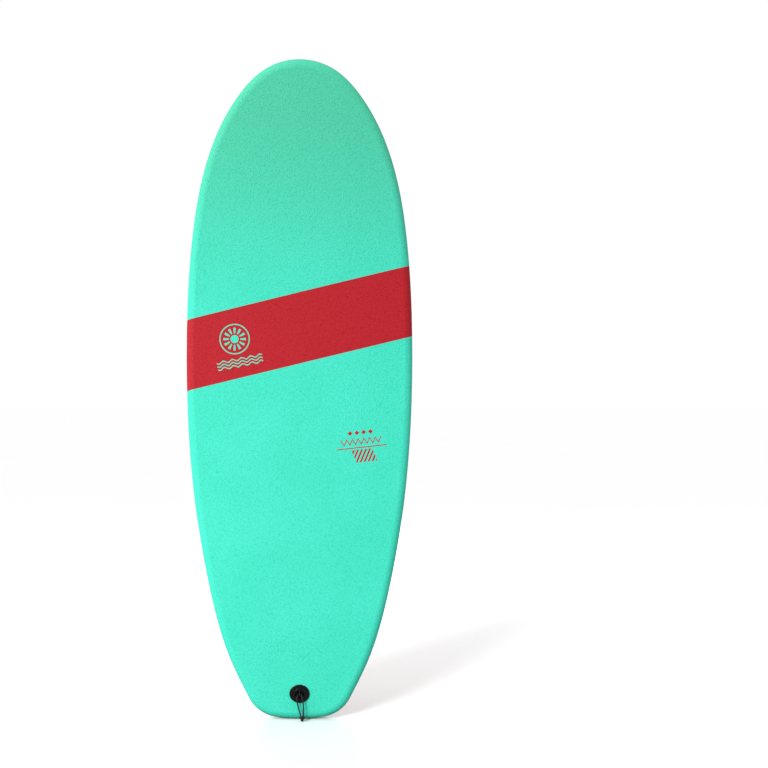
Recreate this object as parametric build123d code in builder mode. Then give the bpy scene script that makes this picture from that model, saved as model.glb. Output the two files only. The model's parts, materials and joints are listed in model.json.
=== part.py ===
from build123d import *

import os
from math import atan2, cos, degrees, pi, radians, sin, sqrt, tan

# A soft-top surfboard, in millimetres.  It stands on its tail: the tail is at Z = 0 and the
# nose at Z = length, the deck faces -Y, the slick bottom faces +Y, and X runs across it.

# Overall shape of the board
length = 1473.0
width = 513.0
thickness = 64.0
nose_thickness = 34.0
tail_thickness = 34.0
nose_rocker = 95.0
tail_rocker = 30.0
deck_crown = 14.0
flat_y = 64.5  # where the lowest stretch of the bottom lies along Y
low_point = 0.46  # the rocker's low point, as a share of the length
thick_point = 0.50  # the thickest station, as a share of the length

# The right rail from the tail block to just short of the nose, as shares of the length and
# of the half width
rail_points = [
    (0.0085, 0.378),
    (0.0345, 0.455),
    (0.089, 0.606),
    (0.199, 0.794),
    (0.347, 0.938),
    (0.570, 1.000),
    (0.735, 0.945),
    (0.861, 0.791),
    (0.948, 0.528),
    (0.988, 0.276),
]
tail_corner = 80.0
deck_round = 19.0
core_round = 15.0
chine = 9.5

# Skins: the foam deck skin, the slick sheet of the bottom and the strip round its edge
skin = 4.0
slick = 1.6
strip = 3.0
strip_rise = 1.0  # how far the strip runs up the rail past the chine
strip_lap = 0.6  # how far the strip laps over the flat of the core

# Stringers
stringer = 3.5
stringer_offset = 52.0

# Fin boxes.  A plate has a length, a width and the length of its slot.
side_plate = (122.0, 34.5, 64.0)
center_plate = (108.0, 31.0, 57.0)
side_box_inset = 44.5  # from the rail in to the middle of a side box
side_box_z = 222.0
center_box_z = 130.0
plate_proud = 0.8
plate_seat = 2.2
plate_edge = 0.6
rim_width = 1.4
rim_height = 0.5
slot_width = 5.0
slot_depth = 18.0
housing_margin = 4.0  # the plate overhangs the ends of its housing by this much
housing_depth = 23.0
fit_gap = 0.2

# Grub screws that clamp a fin in its slot, measured along their slanted axis
screw_side = 9.6
screw_spread = 41.6
screw_tilt = 25.0
screw_diameter = 4.0
screw_length = 8.0
screw_start = 4.0
screw_travel = 3.5
screw_gap = 0.15
hex_radius = 1.15
hex_depth = 2.5
insert_diameter = 6.5
insert_length = 5.0
insert_start = 4.4
insert_wall = 0.8  # what the housing leaves beside an insert

# Leash plug: a cup in the deck and a base in the bottom, drawn together by a bolt
plug_z = 61.5
cup_flange = (45.5, 41.0)
base_flange = (36.0, 28.0)
flange_thickness = 3.0
flange_edge = 1.6
flange_proud = 2.2
gasket = 1.0
cup_bore = 21.0
cup_wall = 3.0
cup_depth = 13.0
cup_floor = 9.0
lip_width = 2.2
lip_height = 1.3
pin_diameter = 4.0
pin_depth = 5.0
pin_bite = 2.0
spigot_diameter = 16.0
spigot_length = 12.0
bolt_diameter = 5.0
bolt_head = 8.5
bolt_head_height = 3.0
bolt_sink = 3.6
bolt_bite = 7.0
bolt_gap = 0.4

# Leash string.  Its route is measured from the middle of the cup's face: across, out from
# the face and up the board.
string_diameter = 3.0
string_turn = 3.5  # the radius of its turns under the pin
knot_size = 11.5
knot_center = (6.0, 4.0, -53.5)
string_route = [
    (0.25, -8.8, -3.0),
    (3.8, -8.8, -3.0),
    (4.2, -2.2, -3.4),
    (5.2, 3.2, -6.0),
    (7.2, 5.2, -13.0),
    (8.6, 5.4, -25.0),
    (9.2, 4.8, -36.0),
    (9.1, 4.2, -46.5),
    (8.8, 4.0, -55.0),
    (3.2, 4.0, -55.0),
    (2.4, 4.4, -46.5),
    (-0.6, 5.0, -36.0),
    (-3.8, 5.4, -24.5),
    (-6.2, 5.2, -13.0),
    (-5.2, 3.2, -6.0),
    (-4.2, -2.2, -3.4),
    (-3.8, -8.8, -3.0),
    (-0.25, -8.8, -3.0),
]

reach = 400.0  # cutting bodies run this far past the board
overshoot = 30.0  # and the rocker and foil are carried this far past its ends
tool_run = 6.0  # pockets and holes start this far outside the surface


# --- The board's surfaces -----------------------------------------------------------------


def bottom_y(z):
    """The bottom's place along Y at height z: flat at the low point, lifted at both ends."""
    low = low_point * length
    if z > low:
        return flat_y - nose_rocker * ((z - low) / (length - low)) ** 2
    return flat_y - tail_rocker * ((low - z) / low) ** 2


def thickness_at(z):
    thick = thick_point * length
    if z > thick:
        return thickness - (thickness - nose_thickness) * ((z - thick) / (length - thick)) ** 2.4
    return thickness - (thickness - tail_thickness) * ((thick - z) / thick) ** 4


def deck_y(z):
    return bottom_y(z) - thickness_at(z)


def rail_x(z):
    """The rail's distance from the middle at height z, on straight lines between its points."""
    points = [(height * length, share * width / 2) for height, share in rail_points]
    for (low, low_x), (high, high_x) in zip(points, points[1:]):
        if low <= z <= high:
            return low_x + (high_x - low_x) * (z - low) / (high - low)
    raise ValueError(f"the rail has no points at height {z}")


def stations(count):
    """Heights from just below the tail to just above the nose."""
    span = length + 2 * overshoot
    return [-overshoot + span * i / (count - 1) for i in range(count)]


def inward(edge, place):
    """The direction into the outline, square to one of its edges at a point or share of it."""
    along = edge.tangent_at(place)
    return Vector(-along.Y, along.X)


def outline_form(inset):
    """The board's outline, moved in by inset, as a body that runs through deck and bottom."""
    right = [Vector(share * width / 2, height * length) for height, share in rail_points]
    left = [Vector(-point.X, point.Y) for point in reversed(right)]
    points = [*right, Vector(0, length), *left]
    rail = Edge.make_spline(points)
    tail = Edge.make_three_point_arc(left[-1], Vector(0, 0), right[0])
    side, end = inward(rail, 0), inward(tail, 1)
    corner = right[0] + (side + end) * (inset / (1 + side.dot(end)))
    middle = [point + inward(rail, point) * inset for point in points[1:-1]]
    moved = [corner, *middle, Vector(-corner.X, corner.Y)]
    with BuildPart() as form:
        with BuildSketch(Plane.XZ.offset(-reach)) as plan:
            with BuildLine():
                Spline(*moved)
                ThreePointArc(moved[-1], (0, inset), corner)
            make_face()
            fillet(plan.vertices(), tail_corner - inset)
        extrude(amount=2 * reach)
    return form.part


def bottom_form(inset, side):
    """Everything on the deck side (-1) or the outer side (+1) of the bottom's rocker line."""
    line = [(bottom_y(z) - inset, z) for z in stations(9)]
    with BuildPart() as form:
        with BuildSketch(Plane.YZ.offset(-reach)):
            with BuildLine():
                Spline(*line)
                far = side * reach
                Polyline(line[-1], (far, line[-1][1]), (far, line[0][1]), line[0])
            make_face()
        extrude(amount=2 * reach)
    return form.part


def deck_form(inset):
    """Everything under the crowned deck."""
    half = width / 2 + overshoot
    with BuildPart() as form:
        for z in stations(11):
            top = deck_y(z) + inset
            edge = top + deck_crown
            with BuildSketch(Plane.XY.offset(z)):
                with BuildLine():
                    ThreePointArc((-half, edge), (0, top), (half, edge))
                    Polyline((half, edge), (half, reach), (-half, reach), (-half, edge))
                make_face()
        loft()
    return form.part


def board_form(inset, bottom_inset, rounding, bevel):
    """The board's body, moved in from its surfaces, with its rails rounded and bevelled."""
    with BuildPart() as form:
        add(outline_form(inset))
        add(deck_form(inset), mode=Mode.INTERSECT)
        add(bottom_form(bottom_inset, -1), mode=Mode.INTERSECT)
        deck = form.faces().sort_by(SortBy.AREA)[-2:].sort_by(Axis.Y)[0]
        fillet(deck.edges(), rounding)
        bottom = form.faces().sort_by(SortBy.AREA)[-2:].sort_by(Axis.Y)[-1]
        chamfer(bottom.edges(), bevel)
    return form.part


def bottom_seat(x, z, proud=0.0):
    """The plane on the bottom at (x, z): its normal points out and its Y runs up the board."""
    rise = degrees(atan2(bottom_y(z + 1) - bottom_y(z - 1), 2))
    normal = (0, cos(radians(rise)), -sin(radians(rise)))
    seat = Plane(origin=(x, bottom_y(z), z), x_dir=(-1, 0, 0), z_dir=normal)
    return seat.offset(proud)


cup_face = Plane(origin=(0, deck_y(plug_z) - flange_proud, plug_z), x_dir=(1, 0, 0), z_dir=(0, -1, 0))
base_face = Plane(origin=(0, bottom_y(plug_z) + flange_proud, plug_z), x_dir=(-1, 0, 0), z_dir=(0, 1, 0))


# --- Fin boxes ----------------------------------------------------------------------------

side_box_x = rail_x(side_box_z) - side_box_inset

# Each box has a name, the sizes of its plate, its seat on the bottom and the side of the
# slot, along the seat's X, that its screws are on: towards the middle of the board.
boxes = [
    ("left", side_plate, bottom_seat(-side_box_x, side_box_z), -1),
    ("right", side_plate, bottom_seat(side_box_x, side_box_z), 1),
    ("center", center_plate, bottom_seat(0, center_box_z), 1),
]


def round_ended(seat, size, top, bottom):
    """A bar with round ends, from top to bottom along the seat's normal."""
    with BuildPart() as bar:
        with BuildSketch(seat.offset(bottom)):
            SlotOverall(size[0], size[1], rotation=90)
        extrude(amount=top - bottom)
    return bar.part


def screw_axes(seat, side):
    """The planes whose normals run in along the two grub screws of a box."""
    tilt = radians(screw_tilt)
    normal = seat.x_dir * (-side * sin(tilt)) - seat.z_dir * cos(tilt)
    for up in (-screw_spread / 2, screw_spread / 2):
        start = seat.from_local_coords(Vector(side * screw_side, up, 0))
        yield Plane(origin=start, x_dir=seat.y_dir, z_dir=normal)


def rod(plane, diameter, start, end):
    """A round bar along the plane's normal."""
    with BuildPart() as bar:
        with BuildSketch(plane.offset(start)):
            Circle(diameter / 2)
        extrude(amount=end - start)
    return bar.part


def housing_size(plate):
    """The housing's length follows its plate, and its width the inserts it holds."""
    tilt = radians(screw_tilt)
    insert_edge = screw_side - insert_start * sin(tilt) + insert_diameter / 2 * cos(tilt)
    return (plate[0] - 2 * housing_margin, 2 * (insert_edge + insert_wall))


def slot_cut(seat, plate):
    return round_ended(seat, (plate[2], slot_width), tool_run, -slot_depth)


def screw_bore(axis):
    end = screw_start + screw_length + screw_travel + 2 * screw_gap
    return rod(axis, screw_diameter + 2 * screw_gap, -tool_run, end)


def fin_plate(seat, plate, side):
    """The cover plate, let into the bottom, with a raised rim and the slot for the fin."""
    top = plate_proud + rim_height
    with BuildPart() as cover:
        add(round_ended(seat, plate, top, -plate_seat))
        fillet(cover.faces().sort_by(Axis(seat.origin, seat.z_dir))[-1].edges(), plate_edge)
        inner = (plate[0] - 2 * rim_width, plate[1] - 2 * rim_width)
        add(round_ended(seat, inner, tool_run, plate_proud), mode=Mode.SUBTRACT)
        add(slot_cut(seat, plate), mode=Mode.SUBTRACT)
        for axis in screw_axes(seat, side):
            add(screw_bore(axis), mode=Mode.SUBTRACT)
    return cover.part


def fin_housing(seat, plate, side):
    """The box set in the core: the fin's slot, and a pocket for each screw's insert."""
    with BuildPart() as housing:
        add(round_ended(seat, housing_size(plate), -plate_seat, -plate_seat - housing_depth))
        add(slot_cut(seat, plate), mode=Mode.SUBTRACT)
        for axis in screw_axes(seat, side):
            add(screw_bore(axis), mode=Mode.SUBTRACT)
            pocket = rod(axis, insert_diameter, -tool_run, insert_start + insert_length)
            add(pocket, mode=Mode.SUBTRACT)
    return housing.part


def box_pocket(seat, plate):
    """The room that a plate and its housing take out of the bottom sheet and the core."""
    grown_plate = [size + 2 * fit_gap for size in plate[:2]]
    grown_housing = [size + 2 * fit_gap for size in housing_size(plate)]
    floor = -plate_seat - housing_depth - fit_gap
    with BuildPart() as pocket:
        add(round_ended(seat, grown_plate, tool_run, -plate_seat))
        add(round_ended(seat, grown_housing, tool_run, floor))
    return pocket.part


def screw_insert(axis):
    """A threaded sleeve pressed into the housing round a grub screw."""
    with BuildPart() as sleeve:
        with BuildSketch(axis.offset(insert_start)):
            Circle(insert_diameter / 2)
            Circle(screw_diameter / 2 + screw_gap, mode=Mode.SUBTRACT)
        extrude(amount=insert_length)
    return sleeve.part


def grub_screw(axis):
    """A headless screw with a hexagon socket at its outer end and a chamfered tip."""
    with BuildPart() as screw:
        add(rod(axis, screw_diameter, screw_start, screw_start + screw_length))
        ends = screw.faces().sort_by(Axis(axis.origin, axis.z_dir))
        chamfer([ends[0].edges()[0], ends[-1].edges()[0]], 0.1 * screw_diameter)
        with BuildSketch(axis.offset(screw_start)):
            RegularPolygon(hex_radius, 6)
        extrude(amount=hex_depth, mode=Mode.SUBTRACT)
    return screw.part


# --- Leash plug ---------------------------------------------------------------------------


def oval_disc(plane, size, top, bottom):
    """A flat oval body, size across and up the board, from top to bottom along the normal."""
    with BuildPart() as disc:
        with BuildSketch(plane.offset(bottom)):
            Ellipse(size[0] / 2, size[1] / 2)
        extrude(amount=top - bottom)
    return disc.part


def domed_flange(plane, size):
    with BuildPart() as flange:
        add(oval_disc(plane, size, 0, -flange_thickness))
        rim = flange.faces().sort_by(Axis(plane.origin, plane.z_dir))[-1].edges()
        fillet(rim, flange_edge)
    return flange.part


cup_diameter = cup_bore + 2 * cup_wall
pin_axis = Plane(origin=cup_face.offset(-pin_depth).origin, z_dir=(0, 0, 1))
pin_half = cup_bore / 2 + pin_bite


def leash_pin():
    """The cross pin that the string loops round, pressed into the cup's wall at both ends."""
    return rod(pin_axis, pin_diameter, -pin_half, pin_half)


def leash_cup():
    """The cup in the deck: a domed flange with a lip, a hollow body and a tapped floor."""
    floor = -cup_depth - cup_floor
    with BuildPart() as cup:
        add(domed_flange(cup_face, cup_flange))
        add(rod(cup_face, cup_diameter, floor, -flange_thickness / 2))
        add(rod(cup_face, cup_bore + 2 * lip_width, -flange_thickness / 2, lip_height))
        fillet(cup.faces().sort_by(Axis.Y)[0].edges(), lip_height / 2)
        add(rod(cup_face, cup_bore, -cup_depth, tool_run), mode=Mode.SUBTRACT)
        add(rod(cup_face, bolt_diameter, floor - tool_run, floor + bolt_bite), mode=Mode.SUBTRACT)
        add(leash_pin(), mode=Mode.SUBTRACT)
    return cup.part


def cup_gasket():
    """The foam washer under the cup's flange."""
    with BuildPart() as washer:
        with BuildSketch(cup_face.offset(-flange_thickness - gasket)):
            Ellipse(cup_flange[0] / 2 - gasket, cup_flange[1] / 2 - gasket)
            Circle(cup_diameter / 2 + fit_gap, mode=Mode.SUBTRACT)
        extrude(amount=gasket)
    return washer.part


def leash_base():
    """The base in the bottom: a domed flange with a spigot and a sunk hole for the bolt."""
    end = -flange_thickness - spigot_length
    with BuildPart() as base:
        add(domed_flange(base_face, base_flange))
        add(rod(base_face, spigot_diameter, end, -flange_thickness / 2))
        add(rod(base_face, bolt_head + bolt_gap, -bolt_sink, tool_run), mode=Mode.SUBTRACT)
        add(rod(base_face, bolt_diameter + bolt_gap, end - tool_run, 0), mode=Mode.SUBTRACT)
    return base.part


def leash_bolt():
    """The socket-head bolt that draws the base and the cup together through the core."""
    tip_y = cup_face.origin.Y + cup_depth + cup_floor - bolt_bite
    shank = base_face.origin.Y - bolt_sink - tip_y
    with BuildPart() as bolt:
        add(rod(base_face, bolt_head, -bolt_sink, bolt_head_height - bolt_sink))
        add(rod(base_face, bolt_diameter, -bolt_sink - shank, -bolt_sink))
        with BuildSketch(base_face.offset(bolt_head_height - bolt_sink)):
            RegularPolygon(bolt_diameter / 2, 6)
        extrude(amount=-bolt_head_height / 2, mode=Mode.SUBTRACT)
    return bolt.part


def plug_pocket():
    """The room that the cup, the bolt and the base take out of the skins and the core."""
    cup_end = -cup_depth - cup_floor - fit_gap
    base_end = -flange_thickness - spigot_length - fit_gap
    grown_cup = [size + 2 * fit_gap for size in cup_flange]
    grown_base = [size + 2 * fit_gap for size in base_flange]
    through = base_face.origin.Y - cup_face.origin.Y
    with BuildPart() as pocket:
        add(oval_disc(cup_face, grown_cup, tool_run, -flange_thickness - gasket))
        add(rod(cup_face, cup_diameter + 2 * fit_gap, cup_end, 0))
        add(oval_disc(base_face, grown_base, tool_run, -flange_thickness))
        add(rod(base_face, spigot_diameter + 2 * fit_gap, base_end, 0))
        add(rod(base_face, bolt_diameter + bolt_gap, -through, 0))
    return pocket.part


def leash_string():
    """The string: from under the pin, down to the knot, back up and under the pin again."""
    points = [cup_face.from_local_coords(Vector(x, up, out)) for x, out, up in string_route]
    radii = []
    for before, corner, after in zip(points, points[1:], points[2:]):
        turn = radians((corner - before).get_angle(after - corner))
        shorter = min((corner - before).length, (after - corner).length)
        radii.append(0.45 * shorter / tan(turn / 2))
    radii[0] = radii[-1] = string_turn
    print("string radii:", [round(radius, 1) for radius in radii])
    with BuildPart() as string:
        with BuildLine() as path:
            FilletPolyline(*points, radius=radii)
        with BuildSketch(Plane(origin=path.line @ 0, z_dir=path.line % 0)):
            Circle(string_diameter / 2)
        sweep()
    run = path.wire().length
    expected = pi * (string_diameter / 2) ** 2 * run
    print(f"string: {run:.1f} long, volume {string.part.volume:.0f} of {expected:.0f}")
    return string.part


def leash_knot(string):
    """The knot that the string is tied in, formed round its turn."""
    x, out, up = knot_center
    with BuildPart() as knot:
        with Locations(cup_face.from_local_coords(Vector(x, up, out))):
            Sphere(knot_size / 2)
        add(string, mode=Mode.SUBTRACT)
    return knot.part


# --- The board's layers -------------------------------------------------------------------


def slab(low, high):
    """A block across the whole board between two places along X."""
    with BuildPart() as block:
        with Locations(((low + high) / 2, 0, length / 2)):
            Box(high - low, 2 * reach, length + 2 * overshoot)
    return block.part


def minus(body, pockets):
    with BuildPart() as cut:
        add(body)
        for pocket in pockets:
            add(pocket, mode=Mode.SUBTRACT)
    return cut.part


def between(body, low, high):
    with BuildPart() as piece:
        add(body)
        add(slab(low, high), mode=Mode.INTERSECT)
    return piece.part


def deck_skin(board, core):
    """The foam skin: all over the deck and round the rails, down to the strip."""
    with BuildPart() as layer:
        add(board)
        add(bottom_form(chine + strip_rise, -1), mode=Mode.INTERSECT)
        add(core, mode=Mode.SUBTRACT)
    return layer.part


def rail_strip(board, core):
    """The strip round the bottom's edge, from the low rail over the chine to the slick."""
    with BuildPart() as layer:
        add(board)
        add(bottom_form(chine + strip_rise, -1), mode=Mode.SUBTRACT)
        add(outline_form(strip_inset), mode=Mode.SUBTRACT)
        add(core, mode=Mode.SUBTRACT)
    return layer.part


def slick_sheet():
    """The smooth sheet over the flat of the bottom, inside the strip."""
    with BuildPart() as layer:
        add(outline_form(strip_inset))
        add(bottom_form(0, -1), mode=Mode.INTERSECT)
        add(bottom_form(slick, 1), mode=Mode.INTERSECT)
    return layer.part


def write(part, name):
    part.label = name
    export_step(part, f"parts/{name}.step")
    print(f"{name}: {len(part.solids())} solids, {part.volume / 1000:.2f} cm3, valid {part.is_valid}")


os.makedirs("parts", exist_ok=True)

# The strip is as thick over the chine as strip says, so the core's own bevel follows from it
core_chine = chine + strip * sqrt(2) - skin - slick
strip_inset = skin + core_chine + strip_lap
board = board_form(0, 0, deck_round, chine)
core = board_form(skin, slick, core_round, core_chine)
pockets = {name: box_pocket(seat, plate) for name, plate, seat, side in boxes}
plug = plug_pocket()

write(minus(deck_skin(board, core), [plug]), "deck_skin")
write(rail_strip(board, core), "rail_strip")
write(minus(slick_sheet(), [plug, *pockets.values()]), "bottom_sheet")

inner = stringer_offset - stringer / 2
outer = stringer_offset + stringer / 2
for name, sign in (("left", -1), ("right", 1)):
    low, high = sorted((sign * outer, sign * reach))
    write(minus(between(core, low, high), [pockets[name]]), f"core_{name}")
    low, high = sorted((sign * inner, sign * outer))
    write(between(core, low, high), f"stringer_{name}")
write(minus(between(core, -inner, inner), [pockets["center"], plug]), "core_center")

inserts = []
for name, plate, seat, side in boxes:
    write(fin_plate(seat, plate, side), f"fin_plate_{name}")
    write(fin_housing(seat, plate, side), f"fin_housing_{name}")
    for place, axis in zip(("low", "high"), screw_axes(seat, side)):
        inserts.append(screw_insert(axis))
        write(grub_screw(axis), f"grub_screw_{name}_{place}")
write(Compound(children=inserts), "screw_inserts")

write(leash_cup(), "leash_cup")
write(leash_pin(), "leash_pin")
write(cup_gasket(), "cup_gasket")
write(leash_base(), "leash_base")
write(leash_bolt(), "leash_bolt")
string = leash_string()
write(string, "leash_string")
write(leash_knot(string), "leash_knot")
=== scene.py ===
import json
from math import cos, pi, radians, sin

import bpy
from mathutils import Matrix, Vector

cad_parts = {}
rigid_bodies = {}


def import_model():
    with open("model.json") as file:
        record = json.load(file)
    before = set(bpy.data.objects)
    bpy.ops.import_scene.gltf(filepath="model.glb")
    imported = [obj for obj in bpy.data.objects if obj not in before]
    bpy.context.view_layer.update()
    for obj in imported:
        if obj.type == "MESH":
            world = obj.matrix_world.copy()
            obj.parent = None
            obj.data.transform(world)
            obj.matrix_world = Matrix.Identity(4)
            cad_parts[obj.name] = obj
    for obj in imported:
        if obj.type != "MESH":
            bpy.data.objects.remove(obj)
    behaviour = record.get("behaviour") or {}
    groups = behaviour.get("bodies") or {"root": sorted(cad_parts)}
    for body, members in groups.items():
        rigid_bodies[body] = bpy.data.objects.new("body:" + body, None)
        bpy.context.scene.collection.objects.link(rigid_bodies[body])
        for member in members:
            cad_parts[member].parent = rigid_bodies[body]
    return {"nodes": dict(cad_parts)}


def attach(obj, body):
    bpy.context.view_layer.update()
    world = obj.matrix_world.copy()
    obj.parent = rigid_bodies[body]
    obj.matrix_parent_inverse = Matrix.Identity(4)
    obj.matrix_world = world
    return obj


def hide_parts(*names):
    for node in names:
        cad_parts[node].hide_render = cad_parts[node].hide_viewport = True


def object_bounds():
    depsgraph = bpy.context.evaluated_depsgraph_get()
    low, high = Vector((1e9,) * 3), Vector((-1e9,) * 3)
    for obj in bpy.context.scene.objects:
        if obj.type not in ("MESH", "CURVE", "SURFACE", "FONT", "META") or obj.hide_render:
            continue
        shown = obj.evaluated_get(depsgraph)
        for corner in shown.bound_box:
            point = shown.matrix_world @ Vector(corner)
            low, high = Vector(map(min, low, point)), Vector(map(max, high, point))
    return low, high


bl_info = {
    "name": "Soft-top Surfboard",
    "version": (1, 0, 0),
    "blender": (4, 5, 0),
    "location": "View3D > Sidebar > Surfboard",
    "description": "Finishes and details of a soft-top surfboard on its fixed frame",
    "category": "Object",
}

for leftover in list(bpy.data.objects):
    bpy.data.objects.remove(leftover, do_unlink=True)
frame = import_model()
CAD_BOX = [list(corner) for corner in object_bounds()]
BOARD = "board"
LENGTH = CAD_BOX[1][2] - CAD_BOX[0][2]


# --- Settings -------------------------------------------------------------------


def length_of(name, default, description):
    return bpy.props.FloatProperty(
        name=name, description=description, default=default, precision=4, unit="LENGTH"
    )


def colour_of(name, default, description):
    return bpy.props.FloatVectorProperty(
        name=name, description=description, default=default, subtype="COLOR", size=3, min=0, max=1
    )


def share_of(name, default, description):
    return bpy.props.FloatProperty(
        name=name, description=description, default=default, min=0, subtype="FACTOR"
    )


class DeckSettings(bpy.types.PropertyGroup):
    foam: colour_of("Foam", (0.067, 0.800, 0.592), "Colour of the deck foam")
    ink: colour_of("Ink", (0.510, 0.012, 0.022), "Colour of the diagonal band and the ornaments")
    pebble: length_of("Pebble", 0.0026, "Width of one pebble of the embossed skin")
    pebble_depth: length_of("Pebble Depth", 0.00035, "Height of the embossing")
    band_low: length_of("Band Low Edge", 0.803, "Height of the band's lower edge at mid board")
    band_high: length_of("Band High Edge", 0.963, "Height of the band's upper edge at mid board")
    band_slope: share_of("Band Slope", 0.242, "Rise of the band for each metre across")
    rail_turn: length_of("Rail Turn", 0.013, "Depth at which the skin turns round the rail")
    ring_radius: length_of("Ring Radius", 0.033, "Radius of the sun emblem's ring")
    ring_line: length_of("Ring Line", 0.0024, "Width of the ring's line")


class BottomSettings(bpy.types.PropertyGroup):
    ground: colour_of("Ground", (0.330, 0.800, 0.660), "Colour of the sheet between the strips")
    red: colour_of("Red", (0.930, 0.012, 0.024), "Red ink")
    teal: colour_of("Teal", (0.004, 0.116, 0.142), "Teal ink")
    navy: colour_of("Navy", (0.010, 0.004, 0.035), "Navy ink")
    border: colour_of("Border", (0.960, 0.940, 0.880), "Colour of the welded border strip")
    dash_length: length_of("Dash Length", 0.0118, "Length of one printed dash")
    dash_width: length_of("Dash Width", 0.0035, "Width of one printed dash")
    dash_spacing: length_of("Dash Spacing", 0.0116, "Distance between neighbouring dashes")
    comb_pitch: length_of("Comb Pitch", 0.0150, "Distance from one comb bar to the next")
    comb_bar: length_of("Comb Bar", 0.0078, "Width of one comb bar")
    pull: length_of("Pull", 0.0060, "How far the print is pulled up beside the center plate")


class HardwareSettings(bpy.types.PropertyGroup):
    plastic: colour_of("Plastic", (0.006, 0.006, 0.0062), "Colour of the moulded nylon")
    steel: colour_of("Steel", (0.560, 0.570, 0.590), "Colour of the stainless screws and pin")
    brass: colour_of("Brass", (0.720, 0.500, 0.190), "Colour of the threaded inserts")


class StringSettings(bpy.types.PropertyGroup):
    colour: colour_of("Cord", (0.006, 0.0065, 0.0065), "Colour of the cord")
    diameter: length_of("Diameter", 0.003, "Diameter of the cord")
    length: length_of("Length", 0.1328, "Length of the cord's centre line")
    row: length_of("Braid Row", 0.00115, "Distance from one row of the braid to the next")
    carriers: bpy.props.IntProperty(
        name="Carriers", description="Stitches round the cord in one row", default=6, min=3
    )


class StudioSettings(bpy.types.PropertyGroup):
    floor: colour_of("Floor", (0.980, 0.980, 0.980), "Colour of the floor")
    distance: length_of("Camera Distance", 2.2675, "Distance of the camera in front of the board")
    camera_height: length_of("Camera Height", 0.757, "Height of the camera above the floor")
    lens: bpy.props.FloatProperty(
        name="Lens", description="Focal length in millimetres", default=47.26, unit="CAMERA"
    )
    aside: bpy.props.FloatProperty(
        name="Aside", description="How far left of the middle the board stands, in frame widths",
        default=0.110,
    )
    sun: bpy.props.FloatProperty(
        name="Sun", description="Strength of the broad light from the upper left", default=2.6
    )
    fill_power: bpy.props.FloatProperty(
        name="Fill Light", description="Power of the fill light", default=4, unit="POWER"
    )
    rim_power: bpy.props.FloatProperty(
        name="Rim Light", description="Power of the light on the left rail", default=22, unit="POWER"
    )
    back_power: bpy.props.FloatProperty(
        name="Back Light", description="Power of the light behind the board", default=62, unit="POWER"
    )
    sky: share_of("Sky", 0.60, "Brightness of the surroundings as the board is lit by them")


# --- Nodes ----------------------------------------------------------------------


class Wire:
    """One output socket. Arithmetic on it adds Math nodes to its tree."""

    def __init__(self, tree, socket):
        self.tree = tree
        self.socket = socket

    def of(self, output):
        return Wire(self.tree, self.socket.node.outputs[output])

    def math(self, operation, *values):
        return self.tree.node("ShaderNodeMath", {"operation": operation}, dict(enumerate(values)))

    def __add__(self, other):
        return self.math("ADD", self, other)

    def __radd__(self, other):
        return self.math("ADD", other, self)

    def __sub__(self, other):
        return self.math("SUBTRACT", self, other)

    def __rsub__(self, other):
        return self.math("SUBTRACT", other, self)

    def __mul__(self, other):
        return self.math("MULTIPLY", self, other)

    def __rmul__(self, other):
        return self.math("MULTIPLY", other, self)

    def __truediv__(self, other):
        return self.math("DIVIDE", self, other)

    def __rtruediv__(self, other):
        return self.math("DIVIDE", other, self)

    def __pow__(self, other):
        return self.math("POWER", self, other)

    def __abs__(self):
        return self.math("ABSOLUTE", self)

    def __mod__(self, other):
        return self.math("FLOORED_MODULO", self, other)

    def sine(self):
        return self.math("SINE", self)

    def cosine(self):
        return self.math("COSINE", self)

    def sign(self):
        return self.math("SIGN", self)

    def least(self, other):
        return self.math("MINIMUM", self, other)

    def most(self, other):
        return self.math("MAXIMUM", self, other)

    def angle(self, other):
        return self.math("ARCTAN2", self, other)

    def rise(self, low, high):
        """0 below low, 1 above high and smooth between them."""
        settings = {"interpolation_type": "SMOOTHSTEP"}
        values = {"Value": self, "From Min": low, "From Max": high}
        return self.tree.node("ShaderNodeMapRange", settings, values)

    def within(self, reach, soft=0.0002):
        """1 where the value is under reach either side of 0."""
        return 1 - abs(self).rise(reach - soft, reach + soft)


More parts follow.
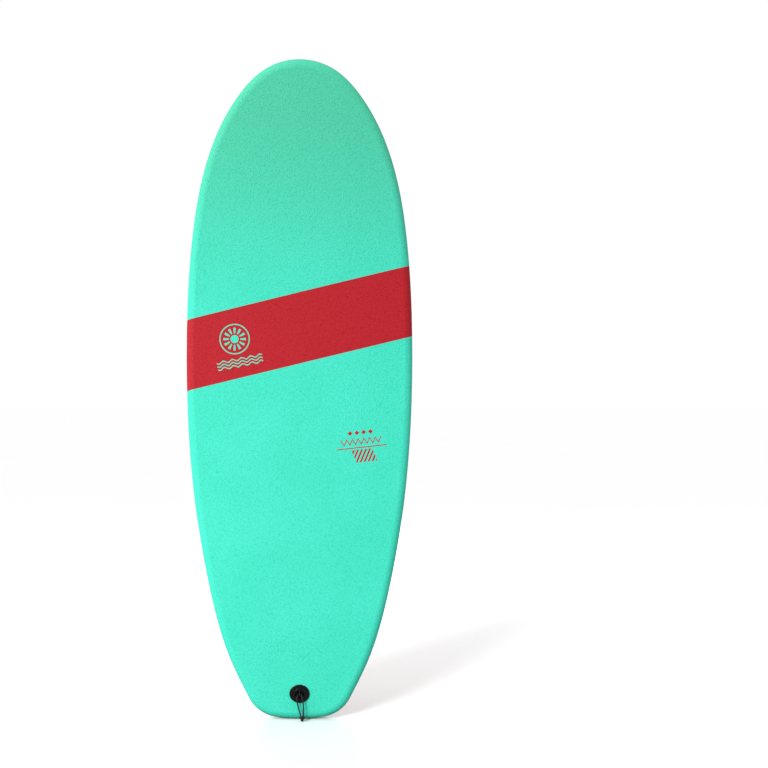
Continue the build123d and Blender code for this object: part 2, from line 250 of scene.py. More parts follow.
class Tree:
    """A node tree that is written as calls and expressions."""

    def __init__(self, nodes, links):
        self.nodes = nodes
        self.links = links

    def node(self, kind, settings=None, values=None, output=0):
        made = self.nodes.new(kind)
        for name, value in (settings or {}).items():
            setattr(made, name, value)
        for key, value in (values or {}).items():
            self.feed(made.inputs[key], value)
        return Wire(self, made.outputs[output]) if made.outputs else made

    def feed(self, socket, value):
        if isinstance(value, Wire):
            self.links.new(value.socket, socket)
        elif socket.is_multi_input:
            for wire in value:
                self.links.new(wire.socket, socket)
        elif socket.type == "RGBA" and len(value) == 3:
            socket.default_value = (*value, 1)
        else:
            socket.default_value = value

    def mix(self, factor, first, second):
        return self.node("ShaderNodeMix", {"data_type": "RGBA"}, {0: factor, 6: first, 7: second}, 2)

    def spot(self):
        """Where a point is on the board."""
        return self.node("ShaderNodeTexCoord", output="Object")

    def place(self):
        """Where a point is on the board, and the three parts of that."""
        spot = self.spot()
        parts = self.node("ShaderNodeSeparateXYZ", values={0: spot})
        return spot, parts, parts.of("Y"), parts.of("Z")

    def point(self, x, y, z=0.0):
        return self.node("ShaderNodeCombineXYZ", values={0: x, 1: y, 2: z})

    def noise(self, spot, width, detail=3.0, roughness=0.5):
        values = {"Vector": spot, "Scale": 1 / width, "Detail": detail, "Roughness": roughness}
        return self.node("ShaderNodeTexNoise", values=values)

    def cells(self, spot, width, feature="F1", randomness=1.0, flat=False):
        settings = {"feature": feature, "voronoi_dimensions": "2D" if flat else "3D"}
        values = {"Vector": spot, "Scale": 1 / width, "Randomness": randomness}
        return self.node("ShaderNodeTexVoronoi", settings, values)

    def bump(self, height, depth, strength=1.0, normal=None):
        values = {"Height": height, "Distance": depth, "Strength": strength}
        if normal is not None:
            values["Normal"] = normal
        return self.node("ShaderNodeBump", values=values)


def finish_named(name):
    """A new material and the tree it is written in."""
    material = bpy.data.materials.new(name)
    material.use_nodes = True
    material.node_tree.nodes.clear()
    return material, Tree(material.node_tree.nodes, material.node_tree.links)


def close_finish(tree, **values):
    """The shader and its output. Names follow the shader's own sockets."""
    sockets = {}
    for name, value in values.items():
        sockets[name.replace("_", " ").title().replace("Ior", "IOR")] = value
    shader = tree.node("ShaderNodeBsdfPrincipled", values=sockets)
    tree.node("ShaderNodeOutputMaterial", values={"Surface": shader})


def toned(colour, tone):
    """The colour with each of its three parts scaled."""
    return [part * share for part, share in zip(colour, tone)]


def coat_node(material, *nodes):
    for node in nodes:
        for material_slot in frame["nodes"][node].material_slots:
            material_slot.material = material


# --- The deck's foam ------------------------------------------------------------

# Where the middle of each ornament lies: across, up and how far it is turned.
EMBLEM_PLACE = (-0.146, 0.858)
WAVES_PLACE = (-0.134, 0.806, radians(11))
MOTIF_PLACE = (0.140, 0.618, radians(6))
PRINT_BACK = (0.020, 0.022)  # the ornaments fade out between these depths, behind the deck
CLOUD_TONE = (0.86, 0.97, 0.95)
# The foam's tone at the nose is painted shade: it is darker where the deck turns down, away from the
# light.
NOSE_PAINTED_SHADE = (1.20, 0.79, 0.68)
NOSE_SHADE_FADE = (0.85, 1.40)  # the heights between which the foam takes on its tone at the nose


def sun_emblem(x, z, sizes):
    """A ring round a small disc with twelve rays."""
    reach = (x * x + z * z) ** 0.5
    ring = (reach - sizes.ring_radius).within(sizes.ring_line / 2)
    disc = 1 - reach.rise(sizes.ring_radius * 0.27, sizes.ring_radius * 0.29)
    turn = (z.angle(x) * 12).cosine().rise(0.15, 0.35)
    rays = (reach - sizes.ring_radius * 0.58).within(sizes.ring_radius * 0.19) * turn
    return ring.most(disc).most(rays)


def wave_lines(x, z, tilt, half_width):
    """Three wavy lines, one above another."""
    along = x * cos(tilt) + z * sin(tilt)
    up = z * cos(tilt) - x * sin(tilt)
    wave = up - (along * (2 * pi / 0.021)).sine() * 0.0024
    line = ((wave + 0.0035) % 0.007 - 0.0035).within(0.00125)
    return line * along.within(half_width) * wave.within(0.0105)


def lower_ornament(x, z, tilt):
    """A zigzag over a long line, a row of diamonds over that and slanted bars below."""
    along = x * cos(tilt) + z * sin(tilt)
    up = z * cos(tilt) - x * sin(tilt)
    fold = abs((along + 0.0065) % 0.013 - 0.0065) * 1.9
    zigzag = (up - fold - 0.004).within(0.0021) * along.within(0.046)
    rule = (up + 0.0035).within(0.0011) * along.within(0.057)
    step = abs(along % 0.0155 - 0.00775)
    diamonds = 1 - (step + abs(up - 0.030)).rise(0.0052, 0.0056)
    diamonds = diamonds * along.within(0.0305)
    slant = ((along - up * 0.55) % 0.0092 - 0.0046).within(0.0023)
    bars = slant * (up + 0.0225).within(0.0145) * (along + 0.004 + up * 0.35).within(0.024)
    return zigzag.most(rule).most(diamonds).most(bars)


def deck_foam():
    sizes = bpy.context.scene.board_deck
    material, tree = finish_named("deck_foam")
    spot, x, y, z = tree.place()
    around = x + x.sign() * (y - sizes.rail_turn).most(0)
    middle = (sizes.band_low + sizes.band_high) / 2
    reach = (sizes.band_high - sizes.band_low) / 2
    band = (z - around * sizes.band_slope - middle).within(reach, 0.0005)
    facing = 1 - y.rise(*PRINT_BACK)
    across, up = EMBLEM_PLACE
    emblem = sun_emblem(x - across, z - up, sizes)
    across, up, tilt = WAVES_PLACE
    waves = wave_lines(x - across, z - up, tilt, 0.052)
    across, up, tilt = MOTIF_PLACE
    motif = lower_ornament(x - across, z - up, tilt) * facing
    inked = (band * (1 - emblem.most(waves) * facing)).most(motif)

    cell = tree.cells(spot, sizes.pebble, "SMOOTH_F1")
    fine = tree.noise(spot, sizes.pebble * 0.35, 2)
    broad = tree.noise(spot, 0.16, 2)
    speckle = tree.noise(spot, 0.0042, 3, 0.65)
    hollow = cell.rise(0.30, 0.75)
    foam = tree.mix(broad.rise(0.35, 0.65), sizes.foam, toned(sizes.foam, CLOUD_TONE))
    # Painted shade: the foam darkens towards the nose, where the deck turns down, away from the light.
    foam = tree.mix(z.rise(*NOSE_SHADE_FADE), foam, toned(sizes.foam, NOSE_PAINTED_SHADE))
    colour = tree.mix(inked * speckle.rise(0.12, 0.26), foam, sizes.ink)
    # Painted shade in the pebbles' hollows, plus random darker speckles: both take a darker copy of the
    # colour.
    shade = (hollow * 0.30 + speckle.rise(0.35, 0.75) * 0.22).least(1)
    colour = tree.mix(shade, colour, tree.node(
        "ShaderNodeHueSaturation", values={"Saturation": 1.05, "Value": 0.62, "Color": colour}
    ))
    height = (1 - hollow) + fine * 0.35
    normal = tree.bump(height, sizes.pebble_depth, 0.85)
    roughness = 0.56 + hollow * 0.16 + broad * 0.06
    close_finish(tree, base_color=colour, roughness=roughness, normal=normal, specular_ior_level=0.25)
    return material


class BOARD_OT_deck(bpy.types.Operator):
    """Foam, band and ornaments on the deck skin"""

    bl_idname = "board.deck"
    bl_label = "Deck Skin"

    def execute(self, context):
        coat_node(deck_foam(), "deck_skin")
        return {"FINISHED"}


# --- The bottom's print ---------------------------------------------------------

# Each strip: middle height, width, lean, left end, right end, ink and marks.
# Left and right are as seen from behind. Lengths are in metres.
STRIPS = (
    (1.462, 0.050, 0.00, -0.30, -0.014, "red", ""),
    (1.462, 0.048, 0.00, -0.014, 0.30, "navy", ""),
    (1.402, 0.086, -0.11, -0.30, 0.158, "red", ""),
    (1.396, 0.062, -0.06, -0.020, 0.170, "red", "dashes"),
    (1.302, 0.080, 0.03, -0.30, 0.184, "red", ""),
    (1.214, 0.082, 0.07, -0.188, 0.196, "teal", ""),
    (1.269, 0.056, 0.04, -0.022, 0.204, "", "comb"),
    (1.110, 0.084, 0.02, -0.030, 0.212, "teal", "dashes"),
    (1.112, 0.070, -0.05, -0.30, -0.062, "red", "dashes"),
    (1.036, 0.058, 0.02, -0.235, 0.240, "navy", ""),
    (0.993, 0.024, 0.00, -0.214, 0.216, "red", ""),
    (0.928, 0.078, -0.11, -0.30, 0.216, "red", ""),
    (0.924, 0.066, -0.01, 0.002, 0.244, "red", "dashes"),
    (0.826, 0.074, -0.10, -0.222, 0.196, "teal", ""),
    (0.866, 0.054, -0.07, -0.034, 0.238, "", "comb"),
    (0.752, 0.070, 0.01, -0.30, 0.170, "teal", "dashes"),
    (0.684, 0.030, -0.10, -0.216, 0.150, "red", ""),
    (0.652, 0.056, -0.11, -0.236, 0.236, "navy", ""),
    (0.594, 0.066, -0.07, -0.30, 0.186, "red", ""),
    (0.576, 0.058, 0.01, -0.024, 0.236, "red", "dashes"),
    (0.522, 0.060, 0.03, -0.220, 0.204, "red", ""),
    (0.462, 0.060, 0.06, -0.30, 0.190, "teal", ""),
    (0.498, 0.046, 0.04, -0.036, 0.226, "", "comb"),
    (0.386, 0.058, -0.01, -0.070, 0.180, "teal", "dashes"),
    (0.388, 0.044, 0.05, -0.30, -0.096, "red", "dashes"),
    (0.320, 0.056, 0.00, -0.190, 0.184, "red", ""),
    (0.336, 0.040, 0.01, -0.018, 0.216, "navy", ""),
    (0.264, 0.054, -0.10, -0.30, 0.184, "red", ""),
    (0.258, 0.040, -0.02, 0.002, 0.202, "red", "dashes"),
    (0.188, 0.050, -0.10, -0.176, 0.168, "teal", ""),
    (0.216, 0.044, -0.05, -0.022, 0.184, "", "comb"),
    (0.142, 0.048, -0.01, -0.140, 0.142, "teal", "dashes"),
    (0.094, 0.042, -0.05, -0.150, 0.132, "red", ""),
    (0.080, 0.038, -0.02, 0.012, 0.140, "navy", ""),
    (0.046, 0.046, 0.00, -0.130, 0.118, "red", ""),
    (0.040, 0.028, -0.05, -0.012, 0.108, "red", "dashes"),
)

# The painted shadow line along the tail: how far it bends up for each square metre across, and its
# edge.
TAIL_BOW = 1.33
TAIL_EDGE = (0.0178, 0.0184)
# Beside the center plate the strips are pulled up, most at this height. The pull fades out
# between these distances from the middle line and from that height.
PULL_HEIGHT = 0.13
PULL_ACROSS = (0.012, 0.080)
PULL_UP = (0.05, 0.12)


def dashes(tree, across, up, sizes):
    """Short strokes at random angles, one in each cell."""
    cell = tree.cells(tree.point(across, up), sizes.dash_spacing, "F1", 0.35, True)
    centre = tree.node("ShaderNodeSeparateXYZ", values={0: cell.of("Position")})
    aside = across - centre
    above = up - centre.of("Y")
    chance = tree.node("ShaderNodeSeparateColor", values={0: cell.of("Color")})
    turn = chance * (2 * pi)
    along = aside * turn.cosine() + above * turn.sine()
    beside = above * turn.cosine() - aside * turn.sine()
    return along.within(sizes.dash_length / 2) * beside.within(sizes.dash_width / 2)


def printed_strips(tree, across, up, sizes):
    """The strips laid over each other, from the nose to the tail."""
    inks = {"red": sizes.red, "teal": sizes.teal, "navy": sizes.navy}
    strokes = dashes(tree, across, up, sizes)
    bars = (across % sizes.comb_pitch - sizes.comb_pitch / 2).within(sizes.comb_bar / 2)
    colour = sizes.ground
    for middle, width, lean, left, right, ink, marks in STRIPS:
        over = (up - across * lean - middle).within(width / 2, 0.0003)
        end = across + (up - middle) * lean
        area = over * (end - (left + right) / 2).within((right - left) / 2, 0.0003)
        if ink:
            colour = tree.mix(area, colour, inks[ink])
        if marks == "dashes":
            colour = tree.mix(area * strokes, colour, sizes.navy)
        if marks == "comb":
            colour = tree.mix(area * bars, colour, sizes.navy)
    return colour


def slick_print():
    sizes = bpy.context.scene.board_bottom
    material, tree = finish_named("slick")
    spot, x, y, z = tree.place()
    beside_plate = 1 - abs(x).rise(*PULL_ACROSS)
    beside_plate = beside_plate * (1 - abs(z - PULL_HEIGHT).rise(*PULL_UP))
    colour = printed_strips(tree, 0 - x, z - beside_plate * sizes.pull, sizes)
    # Painted shadow: a dark line in the navy ink's colour along the tail edge of the slick.
    tail_painted_shadow = 1 - (z - x * x * TAIL_BOW).rise(*TAIL_EDGE)
    colour = tree.mix(tail_painted_shadow, colour, sizes.navy)
    bloom = tree.noise(spot, 0.09, 3)
    colour = tree.mix(bloom.rise(0.4, 0.8) * 0.006, colour, (0.85, 0.85, 0.85))
    broad = tree.noise(spot, 0.045, 1.5)
    foam_cells = tree.cells(spot, 0.0055, "SMOOTH_F1")
    scratch = tree.noise(tree.point(x * 9, z, y), 0.03, 5, 0.7).rise(0.62, 0.75)
    rolled = tree.bump(broad, 0.0009, 0.5)
    normal = tree.bump(foam_cells, 0.00008, 0.5, rolled)
    roughness = 0.20 + scratch * 0.20 + bloom * 0.08
    close_finish(
        tree, base_color=colour, roughness=roughness, normal=normal, specular_ior_level=0.16,
    )
    return material


def border_strip():
    sizes = bpy.context.scene.board_bottom
    material, tree = finish_named("strip")
    spot = tree.spot()
    pressed = tree.cells(spot, 0.0021, "SMOOTH_F1")
    broad = tree.noise(spot, 0.05, 3)
    grime = tree.noise(spot, 0.012, 4, 0.6)
    colour = tree.mix(grime.rise(0.55, 0.80) * 0.25, sizes.border, (0.62, 0.56, 0.45))
    colour = tree.mix(broad.rise(0.4, 0.7) * 0.2, colour, (0.96, 0.93, 0.86))
    normal = tree.bump(pressed, 0.00018, 0.6)
    roughness = 0.36 + broad * 0.12 + pressed * 0.10
    close_finish(tree, base_color=colour, roughness=roughness, normal=normal)
    return material


class BOARD_OT_bottom(bpy.types.Operator):
    """Printed slick sheet and its welded border strip"""

    bl_idname = "board.bottom"
    bl_label = "Bottom"

    def execute(self, context):
        coat_node(slick_print(), "bottom_sheet")
        coat_node(border_strip(), "rail_strip")
        return {"FINISHED"}


# --- The core -------------------------------------------------------------------


def beaded_foam():
    material, tree = finish_named("core_foam")
    spot = tree.spot()
    bead = tree.cells(spot, 0.0045, "F1")
    tint = tree.mix(bead.rise(0.2, 0.7), (0.90, 0.90, 0.88), (0.70, 0.70, 0.67))
    normal = tree.bump(1 - bead, 0.0006, 0.7)
    close_finish(tree, base_color=tint, roughness=0.7 + bead * 0.2, normal=normal)
    return material


def stringer_wood():
    material, tree = finish_named("stringer_wood")
    x, y, z = tree.place()[1:]
    grain = tree.noise(tree.point(x * 6, y * 6, z * 0.35), 0.02, 5, 0.6)
    pore = tree.noise(tree.point(x * 8, y * 8, z * 0.2), 0.004, 2)
    colour = tree.mix(grain.rise(0.3, 0.7), (0.52, 0.33, 0.17), (0.33, 0.19, 0.09))
    normal = tree.bump(grain + pore * 0.5, 0.0003, 0.6)
    close_finish(tree, base_color=colour, roughness=0.5 + grain * 0.2, normal=normal)
    return material


class BOARD_OT_core(bpy.types.Operator):
    """Beaded foam blocks and the two wooden stringers"""

    bl_idname = "board.core"
    bl_label = "Core"

    def execute(self, context):
        coat_node(beaded_foam(), "core_left", "core_center", "core_right")
        coat_node(stringer_wood(), "stringer_left", "stringer_right")
        return {"FINISHED"}


# --- Fin boxes and leash plug ---------------------------------------------------


def moulded_plastic(name, colour, grain, base_roughness, coat=0.0):
    """Nylon with spark-eroded grain, a few scuffs and a lighter colour on the grain's raised points."""
    material, tree = finish_named(name)
    spot, x, y, z = tree.place()
    eroded = tree.noise(spot, grain, 4, 0.6)
    scuff = tree.noise(tree.point(x * 2.2, y, z * 0.8), 0.006, 5, 0.72).rise(0.60, 0.72)
    worn = [c * 2.2 + 0.005 for c in colour]
    shade = tree.mix(scuff * 0.55, colour, worn)
    shade = tree.mix(eroded.rise(0.45, 0.8) * 0.4, shade, [c * 1.5 + 0.002 for c in colour])
    normal = tree.bump(eroded, 0.00012, 0.7)
    roughness = base_roughness + eroded * 0.12 + scuff * 0.12
    close_finish(
        tree, base_color=shade, roughness=roughness, normal=normal,
        specular_ior_level=0.32, coat_weight=coat, coat_roughness=0.2,
    )
    return material


def turned_metal(name, colour, lines, base_roughness):
    """Metal with fine turning lines and tarnish."""
    material, tree = finish_named(name)
    spot, x, y, z = tree.place()
    turning = tree.noise(tree.point(x, y * 9, z), lines, 2)
    tarnish = tree.noise(spot, 0.002, 4, 0.6)
    shade = tree.mix(tarnish.rise(0.45, 0.75) * 0.5, colour, [c * 0.55 for c in colour])
    normal = tree.bump(turning, 0.00004, 0.5)
    roughness = base_roughness + tarnish * 0.18
    close_finish(tree, base_color=shade, metallic=1.0, roughness=roughness, normal=normal)
    return material


def gasket_foam():
    material, tree = finish_named("gasket_foam")
    spot = tree.spot()
    bubble = tree.cells(spot, 0.0006, "F1")
    shade = tree.mix(bubble.rise(0.2, 0.7), (0.030, 0.030, 0.031), (0.012, 0.012, 0.012))
    normal = tree.bump(bubble, 0.0001, 0.6)
    close_finish(tree, base_color=shade, roughness=0.75 + bubble * 0.2, normal=normal)
    return material


class BOARD_OT_fin_boxes(bpy.types.Operator):
    """Plates, housings, screws and inserts of the three fin boxes"""

    bl_idname = "board.fin_boxes"
    bl_label = "Fin Boxes"

    def execute(self, context):
        sizes = context.scene.board_hardware
        plate = moulded_plastic("fin_plastic", list(sizes.plastic), 0.0007, 0.40)
        housing = moulded_plastic("housing_plastic", [c * 1.3 for c in sizes.plastic], 0.0010, 0.48)
        steel = turned_metal("steel", list(sizes.steel), 0.0004, 0.22)
        brass = turned_metal("brass", list(sizes.brass), 0.0005, 0.28)
        coat_node(brass, "screw_inserts")
        for place in ("left", "right", "center"):
            coat_node(plate, f"fin_plate_{place}")
            coat_node(housing, f"fin_housing_{place}")
            coat_node(steel, f"grub_screw_{place}_low", f"grub_screw_{place}_high")
        return {"FINISHED"}


class BOARD_OT_leash_plug(bpy.types.Operator):
    """Cup, base, gasket, cross pin and bolt of the leash plug"""

    bl_idname = "board.leash_plug"
    bl_label = "Leash Plug"

    def execute(self, context):
        sizes = context.scene.board_hardware
        plastic = moulded_plastic("plug_plastic", [c * 0.3 for c in sizes.plastic], 0.0016, 0.24, 0.1)
        coat_node(plastic, "leash_cup", "leash_base")
        coat_node(gasket_foam(), "cup_gasket")
        pin = turned_metal("blackened_steel", [c * 0.12 for c in sizes.steel], 0.0004, 0.30)
        coat_node(pin, "leash_pin", "leash_bolt")
        return {"FINISHED"}


# --- The leash string -----------------------------------------------------------

# The string's route from the middle of the cup's face: to the side, out of the deck and up,
# in millimetres.
STRING_ROUTE = (
    (0.25, -8.8, -3), (3.8, -8.8, -3), (4.2, -2.2, -3.4), (5.2, 3.2, -6), (7.2, 5.2, -13),
    (8.6, 5.4, -25), (9.2, 4.8, -36), (9.1, 4.2, -46.5), (8.8, 4.0, -55), (3.2, 4.0, -55),
    (2.4, 4.4, -46.5), (-0.6, 5.0, -36), (-3.8, 5.4, -24.5), (-6.2, 5.2, -13), (-5.2, 3.2, -6),
    (-4.2, -2.2, -3.4), (-3.8, -8.8, -3), (-0.25, -8.8, -3),
)
CUP_FACE = Vector((0, -0.005335, 0.0615))  # in metres
# The knot, in millimetres too: its centre, and how wide and how deep its loops are drawn.
KNOT_CENTRE = (6, 4, -53.5)
KNOT_SPREAD = 1.80
KNOT_DEPTH = 2.05


def from_cup(side, out, up):
    return CUP_FACE + Vector((side, -out, up)) / 1000


def new_object(name, data):
    made = bpy.data.objects.new(name, data)
    bpy.context.collection.objects.link(made)
    return made


def string_curve(name, points, radius, cyclic=False):
    """A smooth round cord whose control points are the route."""
    curve = bpy.data.curves.new(name, "CURVE")
    curve.dimensions = "3D"
    curve.resolution_u = 12
    curve.bevel_depth = radius
    curve.bevel_resolution = 4
    curve.use_fill_caps = not cyclic
    spline = curve.splines.new("NURBS")
    spline.points.add(len(points) - 1)
    for control, point in zip(spline.points, points):
        control.co = (*point, 1)
    spline.order_u = 3
    if cyclic:
        spline.use_cyclic_u = True
    else:
        spline.use_endpoint_u = True
    return new_object(name, curve)


def flattened(source, name):
    """A mesh of what the object looks like now, as an object of its own."""
    graph = bpy.context.evaluated_depsgraph_get()
    mesh = bpy.data.meshes.new_from_object(source.evaluated_get(graph))
    return new_object(name, mesh)


def centre_line(curve_object, name):
    """The cord's own line as a chain of edges."""
    depth = curve_object.data.bevel_depth
    curve_object.data.bevel_depth = 0
    line = flattened(curve_object, name)
    curve_object.data.bevel_depth = depth
    return line


def cord_fabric():
    sizes = bpy.context.scene.board_string
    material, tree = finish_named("cord")
    spot = tree.spot()
    yarn = tree.noise(spot, 0.0004, 3, 0.6)
    dust = tree.noise(spot, 0.003, 3)
    colour = tree.mix(yarn.rise(0.4, 0.75) * 0.7, sizes.colour, [c * 1.8 + 0.003 for c in sizes.colour])
    colour = tree.mix(dust.rise(0.55, 0.8) * 0.15, colour, (0.03, 0.03, 0.029))
    normal = tree.bump(yarn, 0.00008, 0.8)
    close_finish(
        tree, base_color=colour, roughness=0.62 + yarn * 0.2, normal=normal,
        sheen_weight=0.08, sheen_roughness=0.4,
    )
    return material


def braid_tree(material):
    """Rows of leaning stitches round a line, each row turned half a stitch past the last."""
    group = bpy.data.node_groups.new("braid", "GeometryNodeTree")
    face = group.interface
    face.new_socket(name="Line", in_out="INPUT", socket_type="NodeSocketGeometry")
    for name, kind in (
        ("Cord Radius", "NodeSocketFloat"), ("Row Spacing", "NodeSocketFloat"),
        ("Carriers", "NodeSocketInt"), ("Stitch Lean", "NodeSocketFloat"), ("Seed", "NodeSocketInt"),
    ):
        face.new_socket(name=name, in_out="INPUT", socket_type=kind)
    face.new_socket(name="Braid", in_out="OUTPUT", socket_type="NodeSocketGeometry")
    tree = Tree(group.nodes, group.links)
    given = tree.node("NodeGroupInput")
    line = tree.node("GeometryNodeMeshToCurve", values={"Mesh": given.of("Line")})
    rows = tree.node(
        "GeometryNodeResampleCurve", {"mode": "LENGTH"},
        {"Curve": line, "Length": given.of("Row Spacing")},
    )
    index = tree.node("GeometryNodeInputIndex")
    rings = [stitch_ring(tree, given, index, lean) for lean in (1, -1)]
    both = tree.node("GeometryNodeJoinGeometry", values={"Geometry": rings})
    step = pi / given.of("Carriers")
    turn = tree.node(
        "FunctionNodeAxisAngleToRotation", values={"Axis": (0, 0, 1), "Angle": index * step}
    )
    aim = tree.node(
        "FunctionNodeAlignRotationToVector", {"axis": "Z"},
        {"Vector": tree.node("GeometryNodeInputTangent")},
    )
    facing = tree.node(
        "FunctionNodeRotateRotation", {"rotation_space": "LOCAL"}, {"Rotation": aim, "Rotate By": turn}
    )
    placed = tree.node("GeometryNodeInstanceOnPoints", values={
        "Points": rows, "Instance": both, "Pick Instance": True,
        "Instance Index": index % 2, "Rotation": facing,
    })
    solid = tree.node("GeometryNodeRealizeInstances", values={"Geometry": placed})
    smooth = tree.node("GeometryNodeSetShadeSmooth", values={"Geometry": solid})
    coated = tree.node("GeometryNodeSetMaterial", values={"Geometry": smooth, "Material": material})
    tree.node("NodeGroupOutput", values={"Braid": coated})
    return group


def stitch_ring(tree, given, index, lean):
    """One row: a stitch at each point of a circle, leaning one way."""
    radius = given.of("Cord Radius")
    carriers = given.of("Carriers")
    stitch = tree.node("GeometryNodeMeshUVSphere", values={"Segments": 8, "Rings": 5, "Radius": 1.0})
    shape = tree.node(
        "ShaderNodeCombineXYZ", values={0: radius * 0.26, 1: radius * 0.62, 2: radius * 0.40}
    )
    tilt = given.of("Stitch Lean") * lean
    leaning = tree.node("ShaderNodeCombineXYZ", values={0: tilt, 1: 0.0, 2: 0.0})
    stitch = tree.node(
        "GeometryNodeTransform", values={"Geometry": stitch, "Scale": shape, "Rotation": leaning}
    )
    circle = tree.node("GeometryNodeMeshCircle", values={"Vertices": carriers, "Radius": radius})
    wobble = tree.node(
        "FunctionNodeRandomValue", {"data_type": "FLOAT"},
        {2: 0.94, 3: 1.06, "Seed": given.of("Seed")}, 1,
    )
    angle = index * (2 * pi) / carriers
    around = tree.node(
        "FunctionNodeAxisAngleToRotation", values={"Axis": (0, 0, 1), "Angle": angle}
    )
    row = tree.node("GeometryNodeInstanceOnPoints", values={
        "Points": circle, "Instance": stitch, "Rotation": around, "Scale": wobble,
    })
    return tree.node("GeometryNodeGeometryToInstance", values={"Geometry": row})


def grow(piece, group, **inputs):
    """Runs a node tree on the piece and keeps the mesh that comes out."""
    modifier = piece.modifiers.new(group.name, "NODES")
    modifier.node_group = group
    for item in group.interface.items_tree:
        key = item.name.replace(" ", "_").lower()
        if item.in_out == "INPUT" and key in inputs:
            modifier[item.identifier] = inputs[key]
    graph = bpy.context.evaluated_depsgraph_get()
    mesh = bpy.data.meshes.new_from_object(piece.evaluated_get(graph))
    piece.modifiers.clear()
    piece.data = mesh
    return piece


def knot_points():
    """The line of an overhand knot drawn tight, as a closed ring in metres."""
    centre = from_cup(*KNOT_CENTRE)
    points = []
    steps = 27
    for step in range(steps):
        turn = 2 * pi * step / steps
        side = (sin(turn) + 2 * sin(2 * turn)) * KNOT_SPREAD
        up = (cos(turn) - 2 * cos(2 * turn)) * KNOT_SPREAD
        out = -sin(3 * turn) * KNOT_DEPTH
        points.append(centre + Vector((side, out, up)) / 1000)
    return points


class BOARD_OT_leash_string(bpy.types.Operator):
    """The braided leash string and its knot"""

    bl_idname = "board.leash_string"
    bl_label = "Leash String"

    def execute(self, context):
        sizes = context.scene.board_string
        radius = sizes.diameter / 2
        fabric = cord_fabric()
        route = [from_cup(*point) for point in STRING_ROUTE]
        string = string_curve("leash_string_line", route, radius * 0.96)
        string.data.materials.append(fabric)
        knot_curve = string_curve("leash_knot_line", knot_points(), radius * 0.96, True)
        braid = braid_tree(fabric)
        facts = dict(
            cord_radius=radius * 0.86, row_spacing=sizes.row, carriers=sizes.carriers,
            stitch_lean=radians(38), seed=3,
        )
        string_braid = grow(centre_line(string, "leash_string_braid"), braid, **facts)
        knot_braid = grow(centre_line(knot_curve, "leash_knot_braid"), braid, **facts)
        knot = flattened(knot_curve, "leash_knot_core")
        knot.data.materials.append(fabric)
        bpy.data.objects.remove(knot_curve, do_unlink=True)
        for piece in (string, string_braid, knot, knot_braid):
            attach(piece, BOARD)
        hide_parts("leash_string")
        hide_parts("leash_knot")
        return {"FINISHED"}


# --- The studio -----------------------------------------------------------------

SUN_FROM = (-0.50, -0.70, 0.50)
SUN_SPREAD = radians(22)
FLOOR_REACH = 30
FLOOR_BOUNCE = 0.3  # the share of the floor's brightness that lights the board
FILL_PLACE = (2.6, -2.2, 1.2)
RIM_PLACE = (-2.6, -0.7, 1.0)
BACK_PLACE = (-0.4, 3.0, 1.7)


def area_light(name, place, target, size, power):
    light = bpy.data.lights.new(name, "AREA")
    light.shape = "DISK"
    light.size = size
    light.energy = power
    lamp = new_object(name, light)
    lamp.location = place
    lamp.rotation_euler = (Vector(target) - Vector(place)).to_track_quat("-Z", "Y").to_euler()


def pale_floor(colour):
    """White to the camera and a soft grey to the board, so that little light comes from below."""
    material, tree = finish_named("floor")
    spot = tree.spot()
    cloud = tree.noise(spot, 0.8, 2)
    shade = tree.mix(cloud, colour, [c * 0.985 for c in colour])
    seen = tree.node("ShaderNodeBsdfDiffuse", values={"Color": shade})
    grey = tree.node("ShaderNodeBsdfDiffuse", values={"Color": [c * FLOOR_BOUNCE for c in colour]})
    camera_ray = tree.node("ShaderNodeLightPath")
    both = tree.node("ShaderNodeMixShader", values={0: camera_ray, 1: grey, 2: seen})
    tree.node("ShaderNodeOutputMaterial", values={"Surface": both})
    mesh = bpy.data.meshes.new("floor")
    corners = [(x * FLOOR_REACH, y * FLOOR_REACH, 0) for x, y in ((-1, -1), (1, -1), (1, 1), (-1, 1))]
    mesh.from_pydata(corners, [], [(0, 1, 2, 3)])
    floor = new_object("floor", mesh)
    floor.data.materials.append(material)


def surroundings(sky):
    """A white backdrop that lights the board less than it shows."""
    world = bpy.data.worlds.new("studio")
    world.use_nodes = True
    world.node_tree.nodes.clear()
    tree = Tree(world.node_tree.nodes, world.node_tree.links)
    white = (1, 1, 1)
    seen = tree.node("ShaderNodeBackground", values={"Color": white, "Strength": 1.0})
    around = tree.node("ShaderNodeBackground", values={"Color": white, "Strength": sky})
    camera_ray = tree.node("ShaderNodeLightPath")
    both = tree.node("ShaderNodeMixShader", values={0: camera_ray, 1: around, 2: seen})
    tree.node("ShaderNodeOutputWorld", values={"Surface": both})
    bpy.context.scene.world = world


def soft_sun(direction, strength):
    light = bpy.data.lights.new("sun", "SUN")
    light.energy = strength
    light.angle = SUN_SPREAD
    lamp = new_object("sun", light)
    lamp.rotation_euler = Vector(direction).to_track_quat("Z", "Y").to_euler()


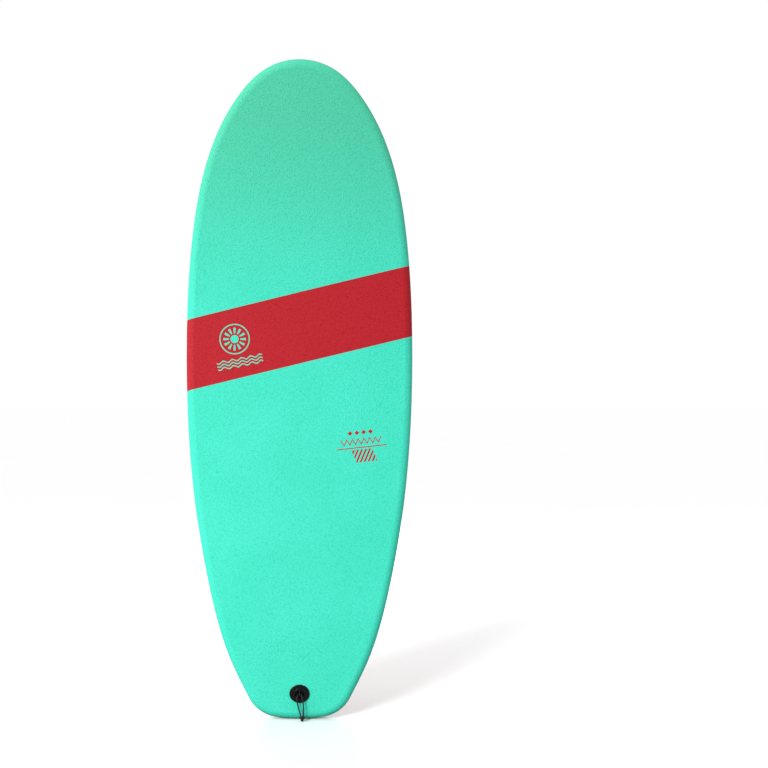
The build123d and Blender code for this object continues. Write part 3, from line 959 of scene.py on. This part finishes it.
class BOARD_OT_stage(bpy.types.Operator):
    """Floor, surroundings, lights and camera"""

    bl_idname = "board.stage"
    bl_label = "Stage"

    def execute(self, context):
        sizes = context.scene.board_studio
        scene = context.scene
        scene.view_settings.view_transform = "Standard"
        pale_floor(list(sizes.floor))
        surroundings(sizes.sky)
        soft_sun(SUN_FROM, sizes.sun)
        target = (0, 0, LENGTH / 2)
        area_light("fill_light", FILL_PLACE, target, 2.0, sizes.fill_power)
        area_light("rim_light", RIM_PLACE, target, 1.6, sizes.rim_power)
        area_light("back_light", BACK_PLACE, target, 2.4, sizes.back_power)
        camera = new_object("camera", bpy.data.cameras.new("camera"))
        camera.location = (0, -sizes.distance, sizes.camera_height)
        camera.rotation_euler = (pi / 2, 0, 0)
        camera.data.sensor_width = 36
        camera.data.lens = sizes.lens
        camera.data.shift_x = sizes.aside
        scene.camera = camera
        return {"FINISHED"}


class BOARD_PT_panel(bpy.types.Panel):
    bl_label = "Surfboard"
    bl_idname = "BOARD_PT_panel"
    bl_space_type = "VIEW_3D"
    bl_region_type = "UI"
    bl_category = "Surfboard"

    def draw(self, context):
        for operator in OPERATORS:
            self.layout.operator(operator.bl_idname)


SETTINGS = {
    "board_deck": DeckSettings,
    "board_bottom": BottomSettings,
    "board_hardware": HardwareSettings,
    "board_string": StringSettings,
    "board_studio": StudioSettings,
}
OPERATORS = (
    BOARD_OT_stage,
    BOARD_OT_leash_string,
    BOARD_OT_deck,
    BOARD_OT_bottom,
    BOARD_OT_core,
    BOARD_OT_fin_boxes,
    BOARD_OT_leash_plug,
)


def register():
    for name, group in SETTINGS.items():
        bpy.utils.register_class(group)
        setattr(bpy.types.Scene, name, bpy.props.PointerProperty(type=group))
    for item in (*OPERATORS, BOARD_PT_panel):
        bpy.utils.register_class(item)


def unregister():
    for item in (BOARD_PT_panel, *reversed(OPERATORS)):
        bpy.utils.unregister_class(item)
    for name, group in SETTINGS.items():
        delattr(bpy.types.Scene, name)
        bpy.utils.unregister_class(group)


def main():
    register()
    bpy.ops.board.stage()
    bpy.ops.board.leash_string()
    bpy.ops.board.deck()
    bpy.ops.board.bottom()
    bpy.ops.board.core()
    bpy.ops.board.fin_boxes()
    bpy.ops.board.leash_plug()


if __name__ == "__main__":
    main()
